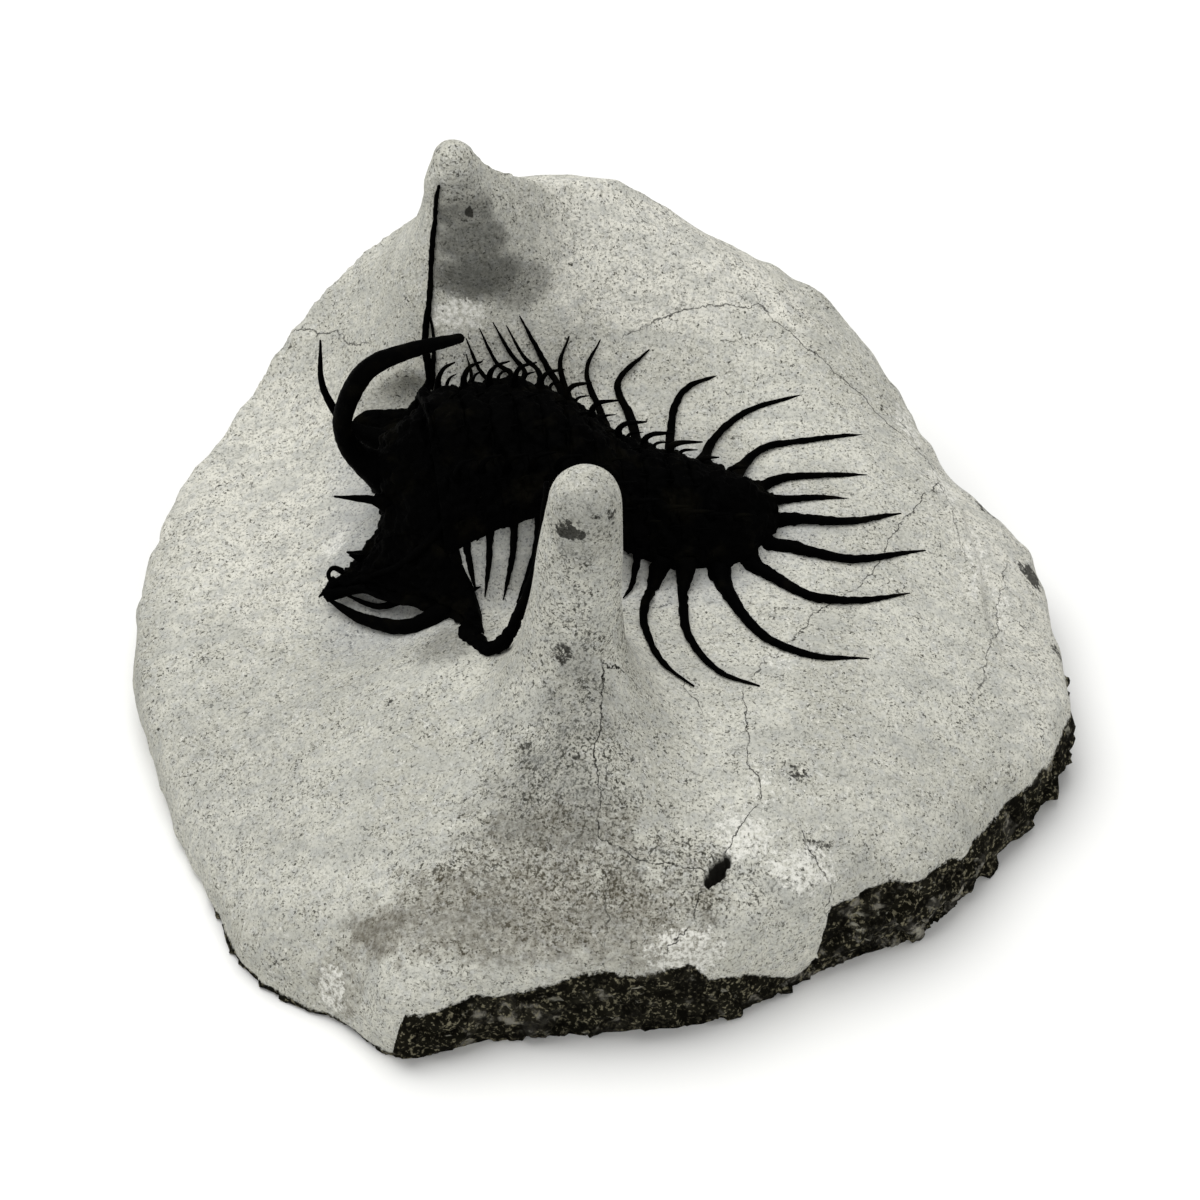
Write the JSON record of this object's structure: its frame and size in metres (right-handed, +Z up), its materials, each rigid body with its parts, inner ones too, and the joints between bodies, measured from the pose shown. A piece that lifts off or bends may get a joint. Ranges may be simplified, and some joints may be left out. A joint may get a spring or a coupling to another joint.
{
  "type": "fossil trilobite",
  "caption": "Spiny trilobite fossil with a curved horn and long side spines, standing free on a pale carved limestone block between two rock pillars.",
  "frame": {"origin": "centre of the flat base of the stone block, on the surface it rests on", "axes": "+Z up from the base; -X towards the animal's head, +X towards its tail; -Y towards the side with the free-standing round pillar"},
  "size_m": [0.1043, 0.1007, 0.0525],
  "materials": {
    "limestone": "air-abraded pale grey limestone, matt and finely speckled, with a dark weathered crust on the broken sides",
    "fossil_shell": "black calcite shell, finely granular with a low sheen"
  },
  "bodies": {
    "root": {"matrix": "limestone", "cranidium": "fossil_shell", "librigena_near": "fossil_shell", "librigena_far": "fossil_shell", "thorax_segment_01": "fossil_shell", "thorax_segment_02": "fossil_shell", "thorax_segment_03": "fossil_shell", "thorax_segment_04": "fossil_shell", "thorax_segment_05": "fossil_shell", "thorax_segment_06": "fossil_shell", "thorax_segment_07": "fossil_shell", "thorax_segment_08": "fossil_shell", "thorax_segment_09": "fossil_shell", "thorax_segment_10": "fossil_shell", "pygidium": "fossil_shell"}
  },
  "joints": []
}
